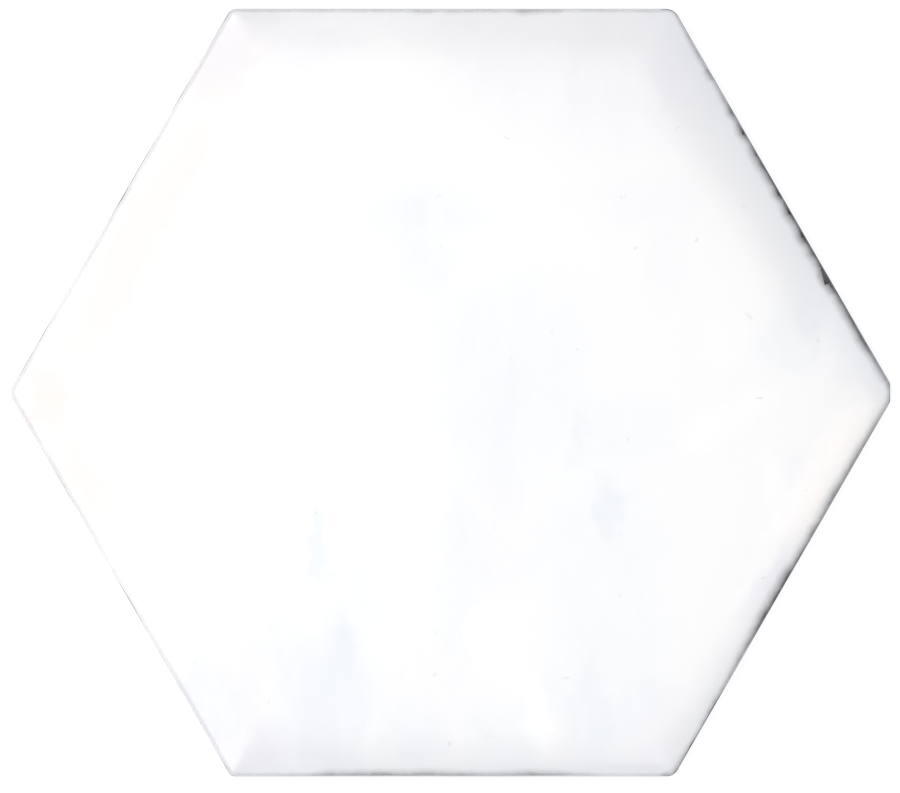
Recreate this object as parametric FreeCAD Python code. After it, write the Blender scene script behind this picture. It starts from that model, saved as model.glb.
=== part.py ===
"""A hexagon floor tile: one pressed and fired piece with a glazed, gently uneven cushion face.

The tile lies on its back. The origin is the middle of the back, +Z goes up through the face and
+X points at the blunted corner, so the tile measures its flats along Y and its corners along X.
Sizes are in millimetres, and slopes and directions in degrees.
"""

import FreeCAD
import Part
import math
import os

from FreeCAD import Vector

# Plan, at the widest level, just above the foot.
across_flats = 150.0
thickness = 9.0                 # from the back to the highest swell of the face

# Each corner came out of the mould and the kiln with a roundness of its own.
upper_right_radius = 2.5
upper_left_radius = 1.9
left_radius = 1.5
lower_left_radius = 1.1
lower_right_radius = 2.2
nose_width = 3.5                # of the flat nose where the right corner has lost its tip
nose_radius = 1.0               # at both ends of the nose

# Side wall, from the back up to the rim.
foot_height = 1.2               # the slope that keeps the edge of the back clear of the bed
foot_inset = 0.8
side_draft = 2.0                # how steeply the sides lean in above the foot
rim_radius = 0.7

# Face: a cushion that falls away near the rim, with the soft swells of a hand-pressed tile.
cushion_width = 15.0
cushion_fall = 1.1
cushion_power = 2.5             # above 2 the fall leaves the middle of the face without a crease
cushion_squareness = 24.0       # how closely the cushion's contours follow the hexagon's corners
swell_height = 0.3              # from the deepest hollow to the highest crest
swell_lengths = (66.0, 47.0, 36.0)
swell_directions = (25.0, 80.0, 140.0)
face_grid = 4.0                 # spacing of the heights that the face is drawn through

# Back: a honeycomb of shallow cells between ribs, which keys the tile into its bed.
cell_width = 11.0               # across a cell's flats, at its mouth
cell_depth = 0.6
cell_draft = 0.25               # how far a cell's floor stands inside its mouth
rib_width = 2.6
back_margin = 5.0               # plain band between the foot and the nearest cell
pad_rings = 1                   # rings of cells left out round the middle, as a plain pad

# Every hexagon here has sides that stand 60 degrees apart, so a corner is at half that from a flat.
corner_turn = 60.0
apothem = across_flats / 2
flat_to_corner = 1 / math.cos(math.radians(corner_turn / 2))


def polar(radius, turn, z=0.0):
    angle = math.radians(turn)
    return Vector(radius * math.cos(angle), radius * math.sin(angle), z)


def outline(inset, z):
    """Corners of the tile's outline moved in by inset: the two ends of the nose, then the other five."""
    reach = (apothem - inset) * flat_to_corner
    nose = polar(reach - nose_width / 2 / math.tan(math.radians(corner_turn)), 0, z)
    corners = [nose + polar(nose_width / 2, -90), nose + polar(nose_width / 2, 90)]
    for number in range(1, 6):
        corners.append(polar(reach, number * corner_turn, z))
    return corners


def tapered_prism(lower, upper):
    """A solid between two like polygons, with one flat side for each pair of their edges."""
    faces = [
        Part.Face(Part.makePolygon(lower[::-1] + lower[-1:])),
        Part.Face(Part.makePolygon(upper + upper[:1])),
    ]
    for number, corner in enumerate(lower):
        side = [lower[number - 1], corner, upper[number], upper[number - 1], lower[number - 1]]
        faces.append(Part.Face(Part.makePolygon(side)))
    shell = Part.Shell(faces)
    shell.sewShape()
    return Part.Solid(shell)


def tapered_blank(lower_inset, upper_inset, height):
    """The tile's outline raised to height while its inset changes, with its corners rounded."""
    lower = outline(lower_inset, 0)
    upper = outline(upper_inset, height)
    body = tapered_prism(lower, upper)
    radii = (
        nose_radius,
        nose_radius,
        upper_right_radius,
        upper_left_radius,
        left_radius,
        lower_left_radius,
        lower_right_radius,
    )
    for radius, foot, head in zip(radii, lower, upper):
        middle = (foot + head) / 2
        corner = min(body.Edges, key=lambda edge: edge.CenterOfMass.distanceToPoint(middle))
        body = body.makeFillet(radius, [corner])
    return body


def blank():
    """The pressed body before its face is shaped: drafted sides, cut back below by the foot's slope."""
    top = thickness + swell_height
    lean = math.tan(math.radians(side_draft))
    sides = tapered_blank(-foot_height * lean, (top - foot_height) * lean, top)
    foot = tapered_blank(foot_inset, foot_inset - foot_inset / foot_height * top, top)
    return sides.common(foot)


def cell():
    """The tool for one cell of the back, which narrows from its mouth to its floor."""
    levels = []
    for width, z in ((cell_width, 0), (cell_width - 2 * cell_draft, cell_depth)):
        levels.append([polar(width / 2 * flat_to_corner, (side + 0.5) * corner_turn, z) for side in range(6)])
    return tapered_prism(*levels)


def cell_places():
    """Middles of the cells, in whole rings round the plain pad."""
    pitch = cell_width + rib_width
    room = apothem - foot_inset - back_margin - cell_width / 2 * flat_to_corner
    rings = int(room * flat_to_corner / pitch)
    for along in range(-rings, rings + 1):
        for across in range(-rings, rings + 1):
            ring = max(abs(along), abs(across), abs(along + across))
            if pad_rings < ring <= rings:
                yield polar(pitch * along, 0) + polar(pitch * across, corner_turn)


def key_back(body):
    cells = []
    for place in cell_places():
        tool = cell()
        tool.translate(place)
        cells.append(tool)
    return body.cut(cells)


def rim_distance(x, y):
    """How far inside the outline a point lies, along contours whose corners are softened."""
    spread = 0.0
    for side in range(3):
        across = polar(1, (side + 0.5) * corner_turn)
        spread += abs(x * across.x + y * across.y) ** cushion_squareness
    return apothem - spread ** (1 / cushion_squareness)


def swell(x, y):
    """The unevenness of the face, within -1 in a hollow and 1 on a crest."""
    height = 0.0
    for length, direction in zip(swell_lengths, swell_directions):
        along = polar(1, direction)
        height += math.cos(math.tau * (x * along.x + y * along.y) / length)
    return height / len(swell_lengths)


def face_height(x, y):
    # Past the outline the fall levels out, so that the sheet never dives under the tile.
    depth = max(rim_distance(x, y), -cushion_width / 2)
    fall = cushion_fall * max(0.0, 1 - depth / cushion_width) ** cushion_power
    return thickness - swell_height * (1 - swell(x, y)) / 2 - fall


def face_sheet():
    """The face as one smooth sheet, a little larger than the tile."""
    half_x = apothem * flat_to_corner + face_grid
    half_y = apothem + face_grid
    columns = math.ceil(2 * half_x / face_grid)
    rows = math.ceil(2 * half_y / face_grid)
    step_x = 2 * half_x / columns
    step_y = 2 * half_y / rows
    heights = []
    for column in range(columns + 1):
        x = column * step_x - half_x
        heights.append([face_height(x, row * step_y - half_y) for row in range(rows + 1)])
    sheet = Part.BSplineSurface()
    sheet.interpolate(heights, -half_x, step_x, -half_y, step_y)
    return Part.Face(sheet)


def shape_face(body):
    """Cuts the cushion face and rounds the rim where it meets the sides."""
    body = body.cut(face_sheet().extrude(Vector(0, 0, thickness)))
    face = max(body.Faces, key=lambda side: side.CenterOfMass.z)
    return body.makeFillet(rim_radius, face.OuterWire.Edges)


def hexagon_tile():
    return shape_face(key_back(blank())).Solids[0]


os.makedirs("parts", exist_ok=True)
tile = hexagon_tile()
tile.exportStep("parts/hexagon_tile.step")
print("hexagon_tile:", len(tile.Faces), "faces,", round(tile.Volume / 1000, 1), "cm3, valid", tile.isValid())
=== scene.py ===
import math

import bpy
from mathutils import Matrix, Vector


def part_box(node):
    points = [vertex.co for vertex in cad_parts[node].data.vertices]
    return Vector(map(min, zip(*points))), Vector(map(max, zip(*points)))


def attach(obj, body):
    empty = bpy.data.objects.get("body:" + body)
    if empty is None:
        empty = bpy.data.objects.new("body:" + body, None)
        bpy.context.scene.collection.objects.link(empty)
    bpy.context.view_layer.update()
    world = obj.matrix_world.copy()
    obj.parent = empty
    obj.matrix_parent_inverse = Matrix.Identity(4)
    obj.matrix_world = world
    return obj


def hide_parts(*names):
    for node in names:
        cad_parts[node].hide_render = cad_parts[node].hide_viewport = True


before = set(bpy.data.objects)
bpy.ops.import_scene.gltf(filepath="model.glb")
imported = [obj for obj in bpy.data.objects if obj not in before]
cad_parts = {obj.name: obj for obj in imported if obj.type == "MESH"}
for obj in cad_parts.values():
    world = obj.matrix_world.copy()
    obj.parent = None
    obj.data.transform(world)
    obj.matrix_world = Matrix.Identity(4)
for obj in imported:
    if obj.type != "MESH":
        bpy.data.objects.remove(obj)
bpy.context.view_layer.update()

mm = 0.001  # sizes in the dictionaries below are millimetres, and Blender works in metres
near = 0.01 * mm  # points closer than this to a place count as being there
cornerTurn = 60  # degrees from one corner of a hexagon to the next
cornerRatio = 1 / math.cos(math.radians(cornerTurn / 2))  # how far its corners reach, against its flats
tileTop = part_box("hexagon_tile")[1]
flatReach = tileTop.y  # from the middle to a flat side, in metres
sideLength = 2 * flatReach / mm / math.sqrt(3)  # in millimetres


def linearColour(code):
    # turns an sRGB hex colour into the linear RGBA that shaders take
    parts = [int(code[i:i + 2], 16) / 255 for i in (1, 3, 5)]
    return tuple(p / 12.92 if p <= 0.04045 else ((p + 0.055) / 1.055) ** 2.4 for p in parts) + (1.0,)


def addNode(tree, kind, settings=None, links=None):
    # adds a node, sets its properties and unlinked sockets, and wires the linked ones; a socket is called
    # by its number where names repeat, such as 6 and 7 for the two colours of a mix
    node = tree.nodes.new(kind)
    for name, value in (settings or {}).items():
        if isinstance(name, str) and hasattr(node, name):
            setattr(node, name, value)
        else:
            node.inputs[name].default_value = value
    for name, source in (links or {}).items():
        tree.links.new(source, node.inputs[name])
    return node


def startPiece():
    if bpy.context.object:
        bpy.ops.object.mode_set(mode="OBJECT")
    bpy.ops.object.select_all(action="DESELECT")


def pickPoints(piece, test):
    # selects the points whose place passes the test, and stays in edit mode
    bpy.ops.object.mode_set(mode="EDIT")
    bpy.ops.mesh.select_mode(type="VERT")
    bpy.ops.mesh.select_all(action="DESELECT")
    bpy.ops.object.mode_set(mode="OBJECT")
    for point in piece.data.vertices:
        point.select = test(point.co)
    bpy.ops.object.mode_set(mode="EDIT")


def applyModifiers(piece):
    bpy.context.view_layer.objects.active = piece
    for name in [modifier.name for modifier in piece.modifiers]:
        bpy.ops.object.modifier_apply(modifier=name)


def facing(turn):
    # the direction in plan that lies at this turn from +X
    return (math.cos(math.radians(turn)), math.sin(math.radians(turn)), 0)


def onRim(turn, along):
    # a point in plan on the side that faces turn, this far from the side's middle, anticlockwise
    x, y, _ = facing(turn)
    reach = flatReach / mm
    return (reach * x - along * y, reach * y + along * x)


def placeInMm(tree):
    # the point on the piece, in millimetres, so that patterns can be sized in them
    metres = addNode(tree, "ShaderNodeTexCoord").outputs["Object"]
    place = addNode(tree, "ShaderNodeVectorMath", {"operation": "SCALE", "Scale": 1 / mm}, {0: metres})
    return place.outputs[0]


clayLook = {
    "dark": "#444343",
    "light": "#666565",
    "sand": "#8b8681",
    "grain": 0.9,           # real grains are near 0.3; at that size they would not show
    "clouds": 12.0,
    "cloudRange": (0.15, 0.35),     # from all dark to all light
    "sandSpacing": 2.4,
    "sandSize": (0.09, 0.16),       # a grain's full core and its edge, as shares of the spacing
    "sandStrength": 0.8,
    "roughness": 0.85,
    "grainHeight": 0.1,
    "grainStrength": 0.6,
}


def clayColour(tree, place, look):
    # dark clay with lighter clouds and grains of sand in it; also gives the height of its grains
    grains = addNode(tree, "ShaderNodeTexNoise", {
        "Scale": 1 / look["grain"], "Detail": 3.0}, {"Vector": place})
    clouds = addNode(tree, "ShaderNodeTexNoise", {
        "Scale": 1 / look["clouds"], "Detail": 4.0}, {"Vector": place})
    tone = addNode(tree, "ShaderNodeMath", {
        "operation": "MULTIPLY"}, {0: grains.outputs[0], 1: clouds.outputs[0]})
    allDark, allLight = look["cloudRange"]
    spread = addNode(tree, "ShaderNodeMapRange", {
        "From Min": allDark, "From Max": allLight}, {"Value": tone.outputs[0]})
    clay = addNode(tree, "ShaderNodeMix", {
        "data_type": "RGBA", 6: linearColour(look["dark"]), 7: linearColour(look["light"])},
        {0: spread.outputs[0]})
    cells = addNode(tree, "ShaderNodeTexVoronoi", {"Scale": 1 / look["sandSpacing"]}, {"Vector": place})
    core, edge = look["sandSize"]
    sand = addNode(tree, "ShaderNodeMapRange", {
        "From Min": edge, "From Max": core, "To Max": look["sandStrength"]},
        {"Value": cells.outputs["Distance"]})
    mix = addNode(tree, "ShaderNodeMix", {
        "data_type": "RGBA", 7: linearColour(look["sand"])}, {0: sand.outputs[0], 6: clay.outputs[2]})
    return mix.outputs[2], grains.outputs[0]


def makeStoneware(look):
    # dry-pressed stoneware, fired dark and left bare: dull and grainy, with fine sand in it
    material = bpy.data.materials.new("bareFiredStoneware")
    material.use_nodes = True
    tree = material.node_tree
    colour, grains = clayColour(tree, placeInMm(tree), look)
    bump = addNode(tree, "ShaderNodeBump", {
        "Strength": look["grainStrength"], "Distance": look["grainHeight"] * mm}, {"Height": grains})
    shader = tree.nodes["Principled BSDF"]
    shader.inputs["Roughness"].default_value = look["roughness"]
    tree.links.new(colour, shader.inputs["Base Color"])
    tree.links.new(bump.outputs[0], shader.inputs["Normal"])
    return material


def strongest(tree, sources):
    # the largest of several values
    best = sources[0]
    for source in sources[1:]:
        best = addNode(tree, "ShaderNodeMath", {"operation": "MAXIMUM"}, {0: best, 1: source}).outputs[0]
    return best


def coverDrifts(tree, place, drifts, softness, breakup=None):
    # the strongest of several oval spots, at each point; a softness of 1 gives them no level middle
    cover = None
    spread = 1 / (1 - softness / 2)  # so that an oval has faded by half at the reach given
    tall = 1000  # far above the tile, so that an oval is the same at every height
    for x, y, length, width, turn, strength in drifts:
        oval = addNode(tree, "ShaderNodeMapping", {
            "vector_type": "TEXTURE", "Location": (x, y, 0), "Rotation": (0, 0, math.radians(turn)),
            "Scale": (length * spread, width * spread, tall)}, {"Vector": place})
        glow = addNode(tree, "ShaderNodeTexGradient", {
            "gradient_type": "SPHERICAL"}, {"Vector": oval.outputs[0]})
        spot = addNode(tree, "ShaderNodeMapRange", {
            "interpolation_type": "SMOOTHSTEP", "From Max": softness, "To Max": strength},
            {"Value": glow.outputs[1]})
        cover = strongest(tree, [cover, spot.outputs[0]]) if cover else spot.outputs[0]
    if breakup:
        cover = addNode(tree, "ShaderNodeMath", {"operation": "MULTIPLY"}, {0: cover, 1: breakup}).outputs[0]
    return cover


wearAndShadeForm = {
    # each side: the direction it faces, the width of the dark line along its rim, which is worn body and
    # painted shade, widest on the sides away from the light; how strongly painted shade with the body's tint
    # greys the glaze inside that; and the height at which the glaze ends on the wall, highest on the sides
    # away from the light, whose bare clay there is also painted shade
    "sides": ((30, -0.33, 0.35, 7.0), (90, -0.33, 0.05, 5.0), (150, -2.0, 0.0, 2.1),
              (210, -2.0, 0.0, 2.1), (270, -0.5, 0.25, 5.0), (330, 0.1, 0.12, 6.8)),
    "sideReach": (5.0, 2.0),        # how far in a side's own values begin, and from where they hold
    "widthInside": -2.0,            # further in, so far below 0 that the dark line never reaches there
    # stretches where the dark line of wear and painted shade is wider: the side, their middle along it, half
    # their length, and how much wider
    "stretches": ((30, -9.5, 31.0, 1.3), (30, 28.5, 7.5, 0.4), (30, 28.7, 1.6, 0.8), (30, -38.0, 3.0, 0.9),
                  (90, -15.0, 2.5, 0.7), (90, -19.0, 2.5, 0.6), (90, -3.0, 5.0, 0.3), (90, 6.0, 2.0, 0.4),
                  (270, -9.0, 18.0, 1.0), (270, 15.0, 10.0, 0.9),
                  (330, 9.0, 28.0, 0.6), (330, -3.0, 9.0, 1.15)),
    # stretches where the glaze ends higher up the wall: the side, middle, half length, and how much higher
    "bareStretches": ((150, -0.8, 3.4, 5.0), (150, -7.0, 6.0, 3.9), (150, -23.7, 2.4, 3.6),
                      (150, -38.5, 3.0, 3.0), (150, 30.5, 2.8, 3.6), (150, 35.8, 2.6, 3.2),
                      (210, 4.3, 4.2, 4.9), (210, -21.7, 3.0, 3.0)),
    "stretchReach": 5.0,    # how far both kinds reach in from the outline
    "stretchSoftness": 0.6,
    "bareSoftness": 1.0,
    "rimInset": 0.3,        # from the outline in to the top of the rim
    "wallTop": 7.3,         # height on the side wall above which the rim's dark line of wear and painted shade shows
    "rimFade": 1.2,         # on both sides of the dark line, where it fades back into full glaze
    "rimCurve": 1.6,        # above 1 the dark fades fast at first and then slowly
    "raggedness": ((9.0, 0.22), (2.2, 0.15)),   # size and depth of the line's unevenness
    "tintAndShadeReach": 9.0,       # how far in the painted shade, with the body's lilac grey, reaches on the sloping rims
    "footRuns": ((15.0, 4.5), (5.0, 1.6)),      # size and depth of the runs that the glaze ends in
    "runSlant": 0.05,       # how fast the runs change with height, against along the wall
    "footTop": 1.1,         # the back and the foot are wiped clean up to this height
    "footFade": 0.15,       # on both sides of the line where the glaze ends
    "footLip": 0.12,        # how far the glaze stands proud of the bare clay there
    "faceHeights": (7.3, 7.6),      # between them the runs die out, below the face
}

chipForm = {
    # where each chip starts, is deepest and ends, measured from the side's upper corner, how much wider the
    # dark line of worn clay and painted shade is there, and how deep the clay is broken
    "places": ((21.4, 23.3, 24.8, 0.7, 0.55), (25.4, 27.6, 30.0, 0.75, 0.8), (30.2, 32.4, 36.5, 0.4, 0.65),
               (39.8, 41.4, 43.0, 0.4, 0.75), (43.4, 45.6, 47.6, 0.45, 0.8), (48.6, 50.8, 52.9, 0.4, 0.85),
               (53.0, 54.7, 56.2, 0.2, 0.5), (56.3, 61.0, 64.0, 1.1, 1.6), (72.0, 74.0, 78.5, 0.3, 0.65)),
    "side": 30,             # the direction that the chipped side faces: the upper right one
    "height": 7.8,
    "reach": (5.0, 3.0),    # how far in the dark line's teeth begin, and from where they are whole
    "endLength": 0.5,       # how soon the broken clay ends after its deepest place
    "tip": 0.03,            # depth at which the broken clay starts
    "facets": (9, 10, 11, 12),      # round the chips, one after another
    "warp": (1.5, 1.0),     # size and reach of the noise that makes the dark line's teeth ragged
}


def addNoiseSwing(tree, value, place, size, depth):
    # moves a value up and down by up to depth
    noise = addNode(tree, "ShaderNodeTexNoise", {"Scale": 1 / size, "Detail": 2.0}, {"Vector": place})
    usualLow, usualHigh = 0.3, 0.7  # a noise texture seldom leaves this range
    swing = addNode(tree, "ShaderNodeMapRange", {
        "From Min": usualLow, "From Max": usualHigh, "To Min": -depth, "To Max": depth},
        {"Value": noise.outputs[0]})
    return addNode(tree, "ShaderNodeMath", {"operation": "ADD"}, {0: value, 1: swing.outputs[0]}).outputs[0]


def sideOvals(stretches, width):
    # stretches of the sides as ovals along them
    return [onRim(turn, along) + (length, width, turn + 90, strength)
            for turn, along, length, strength in stretches]


def chipTeeth(tree, place, chips):
    # along the chipped side the dark line of worn clay and painted shade deepens through each chip and jumps
    # back at its end
    x, y = onRim(chips["side"], sideLength / 2)
    size, amount = chips["warp"]
    noise = addNode(tree, "ShaderNodeTexNoise", {"Scale": 1 / size, "Detail": 2.0}, {"Vector": place})
    ragged = addNode(tree, "ShaderNodeVectorMath", {
        "operation": "MULTIPLY_ADD", 1: (amount, amount, 0)}, {0: noise.outputs["Color"], 2: place})
    shift = (x + amount / 2, y + amount / 2, 0)  # the noise moves a place by half its reach on average
    fromCorner = addNode(tree, "ShaderNodeVectorMath", {
        "operation": "SUBTRACT", 1: shift}, {0: ragged.outputs[0]})
    down = tuple(part / sideLength for part in facing(chips["side"] - 90))  # gives a share of the side
    share = addNode(tree, "ShaderNodeVectorMath", {
        "operation": "DOT_PRODUCT", 1: down}, {0: fromCorner.outputs[0]})
    ramp = addNode(tree, "ShaderNodeValToRGB", None, {0: share.outputs["Value"]})
    steps = ramp.color_ramp.elements
    steps[1].color = (0, 0, 0, 1)
    for start, deepest, end, wider, depth in chips["places"]:
        for position, level in ((start, 0.0), (deepest, wider), (end, 0.0)):
            step = steps.new(position / sideLength)
            step.color = (level, level, level, 1)
    return ramp.outputs[0]


def wornAndShadedRim(tree, place, height, across, widths, wearAndShade, chips):
    # how far this point is from the rim, along the face or down the wall, against the width of the dark line
    # here: worn body, and painted shade on the sides away from the light
    reach = flatReach / mm
    outwards = strongest(tree, list(across.values()))
    inset = addNode(tree, "ShaderNodeMath", {"operation": "SUBTRACT", 0: reach}, {1: outwards})
    fromFace = addNode(tree, "ShaderNodeMath", {
        "operation": "SUBTRACT", 1: wearAndShade["rimInset"]}, {0: inset.outputs[0]})
    fromWall = addNode(tree, "ShaderNodeMath", {"operation": "SUBTRACT", 0: wearAndShade["wallTop"]}, {1: height})
    fromRim = strongest(tree, [fromFace.outputs[0], fromWall.outputs[0]])
    width = strongest(tree, widths)
    for size, depth in wearAndShade["raggedness"]:
        width = addNoiseSwing(tree, width, place, size, depth)
    begins, holds = chips["reach"]
    nearSide = addNode(tree, "ShaderNodeMapRange", {
        "From Min": reach - begins, "From Max": reach - holds}, {"Value": across[chips["side"]]})
    teeth = addNode(tree, "ShaderNodeMath", {
        "operation": "MULTIPLY"}, {0: nearSide.outputs[0], 1: chipTeeth(tree, place, chips)})
    ovals = sideOvals(wearAndShade["stretches"], wearAndShade["stretchReach"])
    for more in (coverDrifts(tree, place, ovals, wearAndShade["stretchSoftness"]), teeth.outputs[0]):
        width = addNode(tree, "ShaderNodeMath", {"operation": "ADD"}, {0: width, 1: more}).outputs[0]
    rest = addNode(tree, "ShaderNodeMath", {"operation": "SUBTRACT"}, {0: width, 1: fromRim}).outputs[0]
    wornAndShaded = addNode(tree, "ShaderNodeMapRange", {
        "From Min": -wearAndShade["rimFade"], "From Max": wearAndShade["rimFade"]}, {"Value": rest}).outputs[0]
    return addNode(tree, "ShaderNodeMath", {"operation": "POWER", 1: wearAndShade["rimCurve"]}, {0: wornAndShaded}).outputs[0]


def bareFoot(tree, place, height, lines, wearAndShade):
    # where the wall is bare, first by the runs alone, for the relief, and then with the bare stretches too;
    # the noise that bends the runs hardly changes with height
    line = strongest(tree, lines)
    level = addNode(tree, "ShaderNodeMath", {"operation": "SUBTRACT"}, {0: height, 1: line}).outputs[0]
    upright = addNode(tree, "ShaderNodeVectorMath", {
        "operation": "MULTIPLY", 1: (1, 1, wearAndShade["runSlant"])}, {0: place}).outputs[0]
    for size, depth in wearAndShade["footRuns"]:
        noise = addNode(tree, "ShaderNodeTexNoise", {"Scale": 1 / size, "Detail": 1.0}, {"Vector": upright})
        swing = addNode(tree, "ShaderNodeMath", {"operation": "SUBTRACT", 1: 0.5}, {0: noise.outputs[0]})
        level = addNode(tree, "ShaderNodeMath", {
            "operation": "MULTIPLY_ADD", 1: depth}, {0: swing.outputs[0], 2: level}).outputs[0]
    wiped = addNode(tree, "ShaderNodeMath", {"operation": "SUBTRACT", 1: wearAndShade["footTop"]}, {0: height})
    level = addNode(tree, "ShaderNodeMath", {
        "operation": "MINIMUM"}, {0: level, 1: wiped.outputs[0]}).outputs[0]
    ovals = sideOvals(wearAndShade["bareStretches"], wearAndShade["stretchReach"])
    higher = coverDrifts(tree, place, ovals, wearAndShade["bareSoftness"])
    lowered = addNode(tree, "ShaderNodeMath", {"operation": "SUBTRACT"}, {0: level, 1: higher})
    low, high = wearAndShade["faceHeights"]
    onWall = addNode(tree, "ShaderNodeMapRange", {"From Min": high, "From Max": low}, {"Value": height})
    masks = []
    for rise in (level, lowered.outputs[0]):
        below = addNode(tree, "ShaderNodeMapRange", {
            "interpolation_type": "SMOOTHSTEP", "From Min": wearAndShade["footFade"], "From Max": -wearAndShade["footFade"]},
            {"Value": rise})
        mask = addNode(tree, "ShaderNodeMath", {
            "operation": "MULTIPLY"}, {0: below.outputs[0], 1: onWall.outputs[0]})
        masks.append(mask.outputs[0])
    return masks


def wearAndShadeMasks(tree, place, wearAndShade, chips):
    # where the dark body shows, with painted shade along the rims away from the light, where the foot's bare
    # clay has relief of its own, and where painted shade with the body's tint greys the glaze near the rims,
    # each from 0 to 1
    height = addNode(tree, "ShaderNodeSeparateXYZ", None, {0: place}).outputs["Z"]
    reach = flatReach / mm
    across, widths, tintsAndShades, lines = {}, [], [], []
    for turn, width, tintAndShade, line in wearAndShade["sides"]:
        across[turn] = addNode(tree, "ShaderNodeVectorMath", {
            "operation": "DOT_PRODUCT", 1: facing(turn)}, {0: place}).outputs["Value"]
        for values, (begins, holds), curve, inside, outside in (
                (widths, wearAndShade["sideReach"], "LINEAR", wearAndShade["widthInside"], width),
                (lines, wearAndShade["sideReach"], "LINEAR", 0.0, line),
                (tintsAndShades, (wearAndShade["tintAndShadeReach"], 0), "SMOOTHSTEP", 0.0, tintAndShade)):
            values.append(addNode(tree, "ShaderNodeMapRange", {
                "interpolation_type": curve, "From Min": reach - begins, "From Max": reach - holds,
                "To Min": inside, "To Max": outside}, {"Value": across[turn]}).outputs[0])
    wornAndShaded = wornAndShadedRim(tree, place, height, across, widths, wearAndShade, chips)
    relief, bare = bareFoot(tree, place, height, lines, wearAndShade)
    return strongest(tree, [wornAndShaded, bare]), relief, strongest(tree, tintsAndShades)


glazeLook = {
    "glaze": "#e9e9e9",
    "blue": "#dbe0e4",
    # painted shade, lilac grey
    "lilacAndShade": "#dfdee4",
    "cream": "#e3dedb",
    # cream tint with painted light
    "ivoryAndLight": "#f3efeb",
    # painted highlight and painted light, and whiter glaze
    "whiteAndLight": "#f3f3f3",
    # painted shade on the sloping rims, with the body's tint
    "thinGlazeAndShade": "#d9dce3",
    "pinhole": "#a4a5a8",
    "pinholeSize": (12.0, 0.45),    # how far apart they are, and their radius
    "pinholeCore": 0.3,             # share of the radius at which one is full
    "pinholeMisses": 0.5,           # share of the places that have none
    "pinholeStrength": 0.32,        # of the darkest
    "roughness": (0.18, 0.8),       # of whole glaze, and under the dark line of worn clay and painted shade
    "ripple": (3.5, 0.0125),        # size and height
    "grainHeight": 0.06,            # on the wall's bare clay
    "warp": ((16.0, 10.0), (4.0, 4.0)),     # size and reach of the noise that bends the drifts' outlines
    # size of the noise that makes them patchy, how fast it varies along each axis, and its usual range
    "wash": (7.0, (1, 0.5, 0.2)),
    "washRange": (0.35, 0.65),
    "washStrength": (0.6, 1.35),    # what a drift is multiplied by at the two ends of that range
    "driftSoftness": 0.85,
    # each drift: its middle, how far it reaches lengthwise and sideways before it has faded by half, its
    # turn in degrees and its strength
    "blueDrifts": (
        (-9, 35, 13, 5.5, 0, 0.5), (-13, 37.5, 6, 1.5, 0, 0.5), (-5, 26.5, 9, 7, 90, 0.5),
        (9.5, 2, 19, 16, 90, 0.45), (33, -8, 9, 7, 0, 0.4), (26, -9, 8, 3, 90, 0.6),
        (31, -25, 8, 3.5, 90, 0.8), (1, -33, 17, 5.5, 90, 0.45), (29, -32, 15, 12, 90, 0.35),
        (30, -50, 18, 11, 90, 0.4), (27.5, -61.5, 8, 6.5, 90, 0.7), (-26, -31, 8, 2, 90, 0.7),
        (-33.5, -45, 8, 1.3, 90, 0.4), (-23, -52, 11, 4, 90, 1.0), (-23.5, -58, 12, 8, 90, 0.7),
        (-31.5, -56, 11, 4, 90, 0.6), (-8, -65.5, 7, 5, 0, 0.5), (9.5, -66, 6.5, 5.5, 0, 0.4),
        (65.5, 11.5, 7, 5, 90, 0.5), (-46, -60, 9, 5, 120, 0.5), (-24, -44, 20, 13, 90, 0.3)),
    # mostly painted shade where the cushion falls away from the light and at the corners, with some lilac
    # mottling
    "lilacAndShadeDrifts": (
        (36, 37.5, 10, 5, 0, 0.25), (10, -26, 15, 6, 90, 0.3), (-43, -57, 14, 8, 100, 0.6),
        (-39.5, -67, 9, 7, 0, 0.7), (41, 26, 9, 3, 90, 0.2), (67, -15, 4, 1.5, 90, 0.35),
        (-4.5, -59, 11, 10, 0, 0.3), (-25, -60, 11, 7, 90, 1.0), (34, 60, 16, 11, 0, 0.5),
        (12, 62, 14, 8, 0, 0.35), (-31, 67, 9, 6, 0, 0.45), (-39, 72, 6, 5, 0, 0.4),
        (27.5, -63, 9, 6, 90, 0.5), (-45, 67, 9, 6, 60, 0.6), (-48, -63, 9, 5, 120, 0.7),
        (38, -66, 8, 6, 90, 0.4), (61.8, -35.7, 8, 2.2, 60, 0.7)),
    "creamDrifts": (
        (-80, -1, 8, 5.5, 90, 1.0), (-71, -17, 11, 5.5, 110, 0.8), (-62, 28.5, 38, 7, 60, 0.8),
        (-45, 64, 11, 7, 60, 0.9), (12, 64, 10, 5.5, 0, 0.2)),
    # cream tint with painted light, lightening the shade along the lower right rim
    "ivoryAndLightDrifts": (
        (76, -12, 11, 5.0, 60, 0.8), (71, -22, 14, 4.5, 60, 0.8)),
    # painted highlights where the wavy glaze catches the light, painted light on the left rims and shaded
    # cushion, and a few whiter patches of glaze
    "whiteAndLightDrifts": (
        (54.5, -5.5, 9, 3, 28, 0.25), (63, -18, 5.5, 2.5, -62, 0.25), (17, -64, 5.5, 2, 90, 0.5),
        (7, -45.5, 3, 3, 0, 0.4), (53.5, 9.5, 4.5, 3.5, 90, 0.2), (64, -29, 16, 3.5, 60, 0.5),
        (75, 8, 12, 5, 120, 0.9), (-41.5, 18, 42, 22, 80, 0.5), (-43.5, 72.5, 3, 1, 55, 1.0),
        (-20, 72, 13, 4, 0, 0.4), (-70, 29, 40, 3, 60, 1.0), (-72, -25, 26, 3, 120, 1.0)),
}


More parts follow.
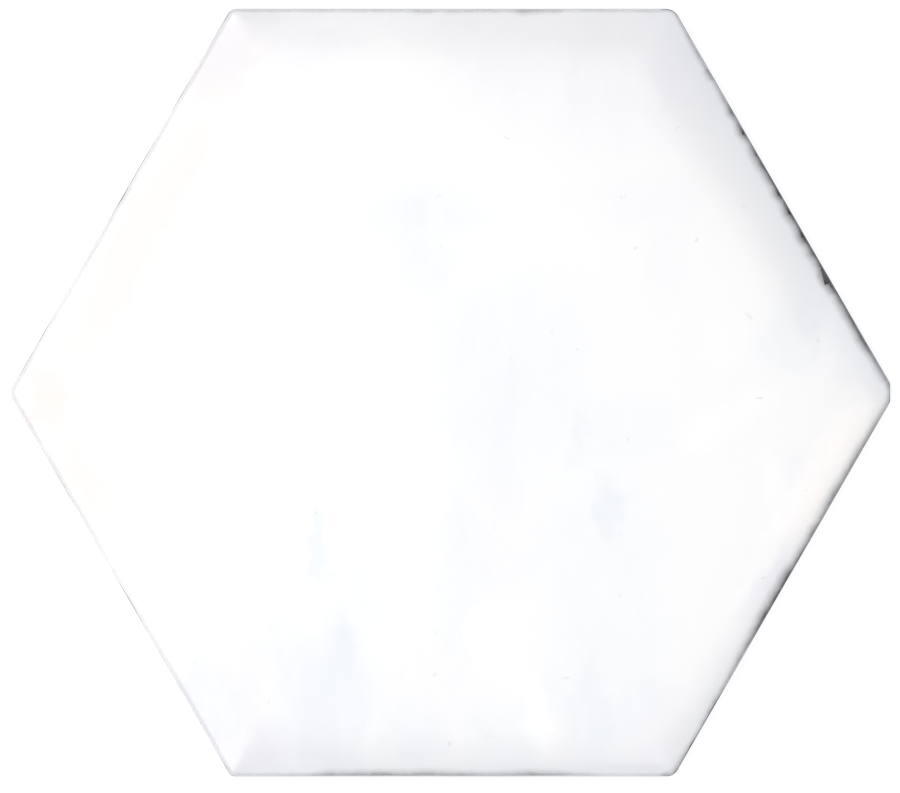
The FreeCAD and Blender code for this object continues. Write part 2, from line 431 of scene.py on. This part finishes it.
def patchyWash(tree, place, look):
    # the glaze was poured, so its drifts are patchy, in streaks along Y
    size, streaks = look["wash"]
    stretched = addNode(tree, "ShaderNodeVectorMath", {"operation": "MULTIPLY", 1: streaks}, {0: place})
    wash = addNode(tree, "ShaderNodeTexNoise", {
        "Scale": 1 / size, "Detail": 5.0, "Roughness": 0.65}, {"Vector": stretched.outputs[0]})
    low, high = look["washRange"]
    weakest, full = look["washStrength"]
    patches = addNode(tree, "ShaderNodeMapRange", {
        "From Min": low, "From Max": high, "To Min": weakest, "To Max": full}, {"Value": wash.outputs[0]})
    return patches.outputs[0]


def pinholeCover(tree, place, look):
    # small grey holes, each somewhere in its own cell of a loose grid
    spacing, radius = look["pinholeSize"]
    cells = addNode(tree, "ShaderNodeTexVoronoi", {
        "voronoi_dimensions": "2D", "Scale": 1 / spacing}, {"Vector": place})
    hole = addNode(tree, "ShaderNodeMapRange", {
        "From Min": radius / spacing, "From Max": look["pinholeCore"] * radius / spacing},
        {"Value": cells.outputs["Distance"]})
    chance = addNode(tree, "ShaderNodeSeparateColor", None, {0: cells.outputs["Color"]})
    chosen = addNode(tree, "ShaderNodeMapRange", {
        "From Min": look["pinholeMisses"], "To Max": look["pinholeStrength"]}, {"Value": chance.outputs[0]})
    cover = addNode(tree, "ShaderNodeMath", {
        "operation": "MULTIPLY"}, {0: hole.outputs[0], 1: chosen.outputs[0]})
    return cover.outputs[0]


def glazeRelief(tree, place, grains, bare, look, wearAndShade):
    # a ripple in the glaze, grains in the bare wall, and a rolled lip between them
    size, height = look["ripple"]
    ripple = addNode(tree, "ShaderNodeTexNoise", {"Scale": 1 / size, "Detail": 2.0}, {"Vector": place})
    ripple = addNode(tree, "ShaderNodeMath", {"operation": "MULTIPLY", 1: height}, {0: ripple.outputs[0]})
    grains = addNode(tree, "ShaderNodeMath", {"operation": "MULTIPLY", 1: look["grainHeight"]}, {0: grains})
    relief = addNode(tree, "ShaderNodeMix", None, {0: bare, 2: ripple.outputs[0], 3: grains.outputs[0]})
    relief = addNode(tree, "ShaderNodeMath", {
        "operation": "MULTIPLY_ADD", 1: -wearAndShade["footLip"]}, {0: bare, 2: relief.outputs[0]})
    return addNode(tree, "ShaderNodeBump", {"Distance": mm}, {"Height": relief.outputs[0]}).outputs[0]


def makeGlaze(look, clay, wearAndShade, chips):
    # opaque tin-white glaze, poured on stoneware and fired glossy: wet-looking, with cool drifts where it
    # pooled, cream where it lies thick over the body, pinholes, and dark clay showing where it broke;
    # painted shade greys its sloping rims and darkens the rims away from the light, and painted highlights
    # and painted light brighten other patches
    material = bpy.data.materials.new("glossyWhiteTinGlaze")
    material.use_nodes = True
    tree = material.node_tree
    place = placeInMm(tree)
    bent = place
    for size, amount in look["warp"]:
        noise = addNode(tree, "ShaderNodeTexNoise", {
            "Scale": 1 / size, "Detail": 3.0, "Roughness": 0.6}, {"Vector": place})
        centred = addNode(tree, "ShaderNodeVectorMath", {
            "operation": "SUBTRACT", 1: (0.5, 0.5, 0.5)}, {0: noise.outputs["Color"]})
        bent = addNode(tree, "ShaderNodeVectorMath", {
            "operation": "MULTIPLY_ADD", 1: (amount, amount, 0)}, {0: centred.outputs[0], 2: bent}).outputs[0]
    patchy = patchyWash(tree, place, look)
    wornAndShaded, bare, tintAndShade = wearAndShadeMasks(tree, place, wearAndShade, chips)
    clayTone, grains = clayColour(tree, place, clay)

    # each layer covers those before it
    layers = []
    for name in ("whiteAndLight", "ivoryAndLight", "cream", "lilacAndShade", "blue"):
        breakup = None if name == "cream" else patchy
        cover = coverDrifts(tree, bent, look[name + "Drifts"], look["driftSoftness"], breakup)
        layers.append((linearColour(look[name]), cover))
    # painted shade along the sloping rims, tinted by the body
    layers.append((linearColour(look["thinGlazeAndShade"]), tintAndShade))
    layers.append((linearColour(look["pinhole"]), pinholeCover(tree, bent, look)))
    # dark clay where the glaze broke, and painted shade along the rims away from the light
    layers.append((clayTone, wornAndShaded))
    colour = None
    for tone, cover in layers:
        mix = addNode(tree, "ShaderNodeMix", {
            "data_type": "RGBA", 6: linearColour(look["glaze"])}, {0: cover})
        if colour:
            tree.links.new(colour, mix.inputs[6])
        if isinstance(tone, tuple):
            mix.inputs[7].default_value = tone
        else:
            tree.links.new(tone, mix.inputs[7])
        colour = mix.outputs[2]

    glossy, dull = look["roughness"]
    rough = addNode(tree, "ShaderNodeMapRange", {"To Min": glossy, "To Max": dull}, {"Value": wornAndShaded})
    shader = tree.nodes["Principled BSDF"]
    tree.links.new(colour, shader.inputs["Base Color"])
    tree.links.new(rough.outputs[0], shader.inputs["Roughness"])
    tree.links.new(glazeRelief(tree, place, grains, bare, look, wearAndShade), shader.inputs["Normal"])
    return material


glaze = makeGlaze(glazeLook, clayLook, wearAndShadeForm, chipForm)
stoneware = makeStoneware(clayLook)
print("materials ready")

# an outline with rounded corners is raised ring by ring into foot, side, rim and cushion
tileForm = {
    "cornerRadii": (2.5, 1.9, 1.5, 1.1, 2.2),  # from the upper right corner round to the lower right
    "noseWidth": 3.5,       # the flat left where the right corner lost its tip
    "noseRadius": 1.0,
    "noseSteps": 3,
    "cornerSteps": 8,
    "sideSteps": 96,
    "footHeight": 1.2,
    "footInset": 0.8,
    "sideDraft": 2.0,       # degrees
    "sideRings": 6,
    "rimRadius": 0.7,
    "rimSteps": 6,
    "cushionWidth": 15.0,
    "cushionFall": 1.1,
    "cushionPower": 2.5,
    "cushionRings": 14,
    "cushionSpread": 1.15,  # above 1 the rings lie closer together near the rim
    "bridgeWidth": 2.5,     # between the last ring and the fan of triangles that fills the middle
    "bridgeRings": 3,
    "smoothAngle": 38.0,    # degrees; sharper edges than this stay sharp
}


def cornerPlace(number, reach):
    x, y, _ = facing(cornerTurn * number)
    return (reach * x, reach * y)


def roundCorner(piece, place, radius, turn, steps):
    # rounds one corner of the flat outline, where the sides change direction by turn degrees
    pickPoints(piece, lambda co: math.hypot(co.x - place[0], co.y - place[1]) < near)
    tangent = radius * mm * math.tan(math.radians(turn / 2))
    bpy.ops.mesh.bevel(offset=tangent, segments=steps, affect="VERTICES", clamp_overlap=False)


def drawOutline(form):
    startPiece()
    reach = (flatReach - form["footInset"] * mm) * cornerRatio
    bpy.ops.mesh.primitive_circle_add(
        vertices=6, radius=reach, fill_type="NGON", rotation=(0, 0, math.radians(cornerTurn / 2)))
    bpy.ops.object.transform_apply(location=True, rotation=True, scale=True)
    piece = bpy.context.object
    for number, radius in enumerate(form["cornerRadii"], start=1):
        roundCorner(piece, cornerPlace(number, reach), radius, cornerTurn, form["cornerSteps"])
    half = form["noseWidth"] / 2
    cut = half / math.sin(math.radians(cornerTurn))  # along each side, from the lost tip
    roundCorner(piece, cornerPlace(0, reach), cut / math.tan(math.radians(cornerTurn / 2)), cornerTurn, 1)
    noseX = reach - half / math.tan(math.radians(cornerTurn)) * mm
    for side in (-1, 1):
        roundCorner(piece, (noseX, side * half * mm), form["noseRadius"], cornerTurn / 2, form["noseSteps"])
    # one cut across the nose gives the right corner as many steps as the others
    pickPoints(piece, lambda co: co.x > noseX - near)
    bpy.ops.mesh.subdivide(number_cuts=1)
    bpy.ops.mesh.select_mode(type="EDGE")
    bpy.ops.mesh.select_all(action="DESELECT")
    bpy.ops.object.mode_set(mode="OBJECT")
    for edge in piece.data.edges:
        start, end = [piece.data.vertices[i].co for i in edge.vertices]
        edge.select = (start - end).length > flatReach / 2
    bpy.ops.object.mode_set(mode="EDIT")
    bpy.ops.mesh.subdivide(number_cuts=form["sideSteps"] - 1)
    return piece


def raiseSides(form):
    # extrudes the outline ring by ring: up the side, then in across the cushion
    top = tileTop.z / mm
    draft = math.tan(math.radians(form["sideDraft"]))
    rimInset = (top - form["cushionFall"] - form["footHeight"]) * draft
    fall = [form["cushionFall"] * (1 - rimInset / form["cushionWidth"]) ** form["cushionPower"]]
    rings = []
    for step in range(form["sideRings"] + 1):
        rise = (top - fall[0] - form["footHeight"]) * step / form["sideRings"]
        rings.append((rise * draft, form["footHeight"] + rise))
    for step in range(1, form["cushionRings"] + 1):
        share = (step / form["cushionRings"]) ** form["cushionSpread"]
        inset = rimInset + (form["cushionWidth"] - rimInset) * share
        drop = form["cushionFall"] * (1 - inset / form["cushionWidth"]) ** form["cushionPower"]
        rings.append((inset, top - drop))
    bpy.ops.mesh.select_all(action="SELECT")
    bpy.ops.mesh.flip_normals()
    inset, height = form["footInset"], 0
    for nextInset, nextHeight in rings:
        scale = (flatReach - nextInset * mm) / (flatReach - inset * mm)
        bpy.ops.mesh.extrude_edges_move()
        bpy.ops.transform.resize(value=(scale, scale, 1), center_override=(0, 0, 0))
        bpy.ops.transform.translate(value=(0, 0, (nextHeight - height) * mm))
        inset, height = nextInset, nextHeight
    return rings[form["sideRings"]][1]


def fillFace(form):
    # the middle of the face: a fan of even triangles, bridged to the cushion's last ring
    steps = form["sideSteps"] + form["cornerSteps"]
    reach = (flatReach - (form["cushionWidth"] + form["bridgeWidth"]) * mm) * cornerRatio
    bpy.ops.mesh.select_all(action="DESELECT")
    bpy.ops.mesh.primitive_circle_add(
        vertices=6, radius=reach, fill_type="TRIFAN", location=(0, 0, tileTop.z),
        rotation=(0, 0, math.radians(cornerTurn / 2)))
    bpy.ops.mesh.subdivide(number_cuts=1)
    bpy.ops.mesh.subdivide(number_cuts=steps // 2 - 1)
    bpy.ops.mesh.select_all(action="DESELECT")
    bpy.ops.mesh.select_mode(type="EDGE")
    bpy.ops.mesh.select_non_manifold(
        use_wire=False, use_boundary=True, use_multi_face=False, use_non_contiguous=False, use_verts=False)
    bpy.ops.mesh.bridge_edge_loops(number_cuts=form["bridgeRings"], interpolation="LINEAR")


def roundRim(piece, form, rimHeight):
    # the edge where the wall meets the cushion
    pickPoints(piece, lambda co: abs(co.z - rimHeight * mm) < near)
    bpy.ops.mesh.select_mode(type="EDGE")
    slope = form["cushionPower"] * form["cushionFall"] / form["cushionWidth"]
    turn = math.radians(90 - form["sideDraft"]) - math.atan(slope)
    bpy.ops.mesh.bevel(
        offset=form["rimRadius"] * mm * math.tan(turn / 2), segments=form["rimSteps"], affect="EDGES")


# broad swells of the pressed clay, and finer waves in the glaze
reliefForm = {
    "swells": ((66.0, 25.0), (47.0, 80.0), (36.0, 140.0)),  # crest to crest, and direction in degrees
    "swellHeight": 0.3,     # all swells together
    "waves": ((26.0, 0.10), (9.0, 0.035)),  # size and depth
    "rimWaves": ((5.0, 0.22),),
    "wall": (6.5, 1.2),     # height on the wall where all relief begins, and over how much it grows
    "rimInset": (0.3, 1.2),     # how far in the rim's waves begin to fade, and over how much they do
    "creaseInset": (0.9, 1.5),  # how far in the creases begin to be smoothed, and over how much
    "creaseSmoothing": 100,
}


def addSwells(piece, form):
    # bands of a wood texture are pure waves, laid out by an empty each
    helpers = []
    bandRate = 10  # of a wood texture, in radians to each unit of x + y + z
    bandTurn = 45  # degrees from +X to the way that its bands follow each other
    for length, direction in form["swells"]:
        size = length * mm * math.sqrt(2) * bandRate / math.tau
        turn = math.radians(direction - bandTurn)
        crest = tileTop.z - size * math.pi / (2 * bandRate)  # puts a crest over the origin
        bpy.ops.object.empty_add(location=(0, 0, crest), rotation=(0, 0, turn))
        helper = bpy.context.object
        helper.scale = (size, size, size)
        texture = bpy.data.textures.new("swell", "WOOD")
        texture.wood_type = "BANDS"
        texture.noise_basis_2 = "SIN"
        swell = piece.modifiers.new("swell", "DISPLACE")
        swell.texture = texture
        swell.texture_coords = "OBJECT"
        swell.texture_coords_object = helper
        swell.direction = "Z"
        swell.mid_level = 1
        swell.strength = form["swellHeight"] * mm / len(form["swells"])
        swell.vertex_group = "face"
        helpers.append(helper)
    return helpers


def addWaves(piece, waves, group, direction):
    for size, depth in waves:
        texture = bpy.data.textures.new("wave", "CLOUDS")
        texture.noise_scale = size * mm
        texture.noise_depth = 1
        wave = piece.modifiers.new("wave", "DISPLACE")
        wave.texture = texture
        wave.texture_coords = "LOCAL"
        wave.direction = direction
        wave.mid_level = 1
        wave.strength = depth * mm
        wave.vertex_group = group


def shareOf(span, value):
    # how far a value has come through a span, given as its start and length, from 0 to 1
    start, length = span
    return min(1, max(0, (value - start) / length))


def shapeRelief(piece, form):
    bpy.ops.object.mode_set(mode="OBJECT")
    face, rim, cushion = [piece.vertex_groups.new(name=name) for name in ("face", "rim", "cushion")]
    flats = [cornerPlace(n + 0.5, 1) for n in range(3)]
    for point in piece.data.vertices:
        inset = (flatReach - max(abs(point.co.x * x + point.co.y * y) for x, y in flats)) / mm
        rise = shareOf(form["wall"], point.co.z / mm)
        face.add([point.index], rise, "REPLACE")
        rim.add([point.index], rise * (1 - shareOf(form["rimInset"], inset)), "REPLACE")
        cushion.add([point.index], rise * shareOf(form["creaseInset"], inset), "REPLACE")
    # the pressed clay has no creases where the cushion of one side meets the next
    soft = piece.modifiers.new("softCreases", "SMOOTH")
    soft.factor = 0.5
    soft.iterations = form["creaseSmoothing"]
    soft.vertex_group = "cushion"
    helpers = addSwells(piece, form)
    addWaves(piece, form["waves"], "face", "Z")
    addWaves(piece, form["rimWaves"], "rim", "NORMAL")
    applyModifiers(piece)
    for helper in helpers:
        bpy.data.objects.remove(helper)


# the honeycomb that keys the back into its bed
backForm = {
    "cellWidth": 11.0,
    "cellDepth": 0.6,
    "cellDraft": 0.25,
    "ribWidth": 2.6,
    "rings": 5,
    "padRings": 1,          # left out round the middle
    "plugReach": 0.3,       # how far the plugs that cut the cells stand out below the back
}


def cutAway(piece, cutter):
    cutter.data.materials.append(stoneware)
    cut = piece.modifiers.new("cut", "BOOLEAN")
    cut.object = cutter
    cut.operation = "DIFFERENCE"
    cut.solver = "EXACT"
    cut.material_mode = "TRANSFER"
    applyModifiers(piece)
    bpy.data.objects.remove(cutter)


def chipRim(piece, form):
    # each chip is a slim cone along the rim, so it deepens slowly and ends at once
    startPiece()
    chips = []
    for number, (start, deepest, _, _, depth) in enumerate(form["places"]):
        end = deepest + form["endLength"]
        x, y = onRim(form["side"], sideLength / 2 - (start + end) / 2)
        bpy.ops.mesh.primitive_cone_add(
            vertices=form["facets"][number % len(form["facets"])],
            radius1=depth * mm, radius2=form["tip"] * mm, depth=(end - start) * mm,
            location=(x * mm, y * mm, form["height"] * mm),
            rotation=(0, math.radians(90), math.radians(form["side"] + 90)))
        chips.append(bpy.context.object)
    for chip in chips:
        chip.select_set(True)
    bpy.ops.object.join()
    bpy.ops.object.transform_apply(location=True, rotation=True, scale=True)
    cutAway(piece, bpy.context.object)


def keyBack(piece, form):
    # each cell is a six-sided tapered plug that sinks into the back
    startPiece()
    slope = form["cellDraft"] / form["cellDepth"]
    low, high = -form["plugReach"], form["cellDepth"]
    pitch = (form["cellWidth"] + form["ribWidth"]) * mm
    cells = []
    for along in range(-form["rings"], form["rings"] + 1):
        for across in range(-form["rings"], form["rings"] + 1):
            ring = max(abs(along), abs(across), abs(along + across))
            if not form["padRings"] < ring <= form["rings"]:
                continue
            side = cornerPlace(1, across * pitch)
            bpy.ops.mesh.primitive_cone_add(
                vertices=6, radius1=(form["cellWidth"] / 2 - low * slope) * cornerRatio * mm,
                radius2=(form["cellWidth"] / 2 - high * slope) * cornerRatio * mm, depth=(high - low) * mm,
                location=(along * pitch + side[0], side[1], (low + high) / 2 * mm))
            cells.append(bpy.context.object)
    for cell in cells:
        cell.select_set(True)
    bpy.ops.object.join()
    bpy.ops.object.transform_apply(location=True, rotation=True, scale=True)
    cutAway(piece, bpy.context.object)


def modelTile(form):
    piece = drawOutline(form)
    rimHeight = raiseSides(form)
    fillFace(form)
    roundRim(piece, form, rimHeight)
    bpy.ops.mesh.select_all(action="SELECT")
    bpy.ops.mesh.normals_make_consistent(inside=False)
    shapeRelief(piece, reliefForm)
    piece.data.materials.append(glaze)
    chipRim(piece, chipForm)
    keyBack(piece, backForm)
    startPiece()
    piece.select_set(True)
    bpy.context.view_layer.objects.active = piece
    bpy.ops.object.shade_smooth_by_angle(angle=math.radians(form["smoothAngle"]))
    piece.name = "glazedTile"
    return piece


tile = modelTile(tileForm)
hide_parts("hexagon_tile")
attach(tile, "root")
print("tile modelled:", len(tile.data.polygons), "faces")

studio = {
    "floorSize": 12.0,      # metres
    "floorGap": 0.02,       # keeps the floor clear of the tile's back
    # the floor glows, so that the tile's own shade leaves no grey ring round it
    "floor": "#8c8c8e",
    "floorGlow": 0.95,
    "floorLight": "#f4f4f5",
    "floorRoughness": 0.9,
    "floorSheen": 0.1,
    "world": "#e2e6f1",
    "worldLight": 0.57,
    # two softboxes edge to edge, as an L: middle and size in metres, turn in degrees, power in watts
    "softboxes": {
        "upperSoftbox": ((-0.0952, 0.0738, 0.6), (0.67, 0.252), -43, 1.93),
        "lowerSoftbox": ((-0.3293, -0.0599, 0.6), (0.50, 0.263), -43, 1.50),
    },
    "softboxColour": "#fffcf6",
    # the camera looks straight down from far off: the width and middle of what it shows
    "viewWidth": 175.66,
    "viewMiddle": (-0.46, -0.76),
    "lens": 1000.0,
    "sensor": 36.0,
    "clip": (0.1, 30.0),    # metres
}


def buildStudio(setup):
    startPiece()
    bpy.ops.mesh.primitive_plane_add(size=setup["floorSize"], location=(0, 0, -setup["floorGap"] * mm))
    floor = bpy.context.object
    floor.name = "paleFloor"
    paint = bpy.data.materials.new("mattWhitePaint")
    paint.use_nodes = True
    shader = paint.node_tree.nodes["Principled BSDF"]
    shader.inputs["Base Color"].default_value = linearColour(setup["floor"])
    shader.inputs["Roughness"].default_value = setup["floorRoughness"]
    shader.inputs["Specular IOR Level"].default_value = setup["floorSheen"]
    shader.inputs["Emission Color"].default_value = linearColour(setup["floorLight"])
    shader.inputs["Emission Strength"].default_value = setup["floorGlow"]
    floor.data.materials.append(paint)

    world = bpy.data.worlds.new("softStudio")
    world.use_nodes = True
    background = world.node_tree.nodes["Background"]
    background.inputs["Color"].default_value = linearColour(setup["world"])
    background.inputs["Strength"].default_value = setup["worldLight"]
    bpy.context.scene.world = world

    for name, (middle, size, turn, power) in setup["softboxes"].items():
        bpy.ops.object.light_add(type="AREA", location=middle, rotation=(0, 0, math.radians(turn)))
        box = bpy.context.object
        box.name = name
        box.data.shape = "RECTANGLE"
        box.data.size, box.data.size_y = size
        box.data.energy = power
        box.data.color = linearColour(setup["softboxColour"])[:3]
        box.visible_camera = False

    distance = setup["viewWidth"] * mm * setup["lens"] / setup["sensor"]
    x, y = setup["viewMiddle"]
    bpy.ops.object.camera_add(location=(x * mm, y * mm, distance + tileTop.z), rotation=(0, 0, 0))
    camera = bpy.context.object
    camera.data.lens = setup["lens"]
    camera.data.sensor_width = setup["sensor"]
    camera.data.clip_start, camera.data.clip_end = setup["clip"]
    scene = bpy.context.scene
    scene.camera = camera
    scene.view_settings.view_transform = "Standard"


buildStudio(studio)
print("studio ready")
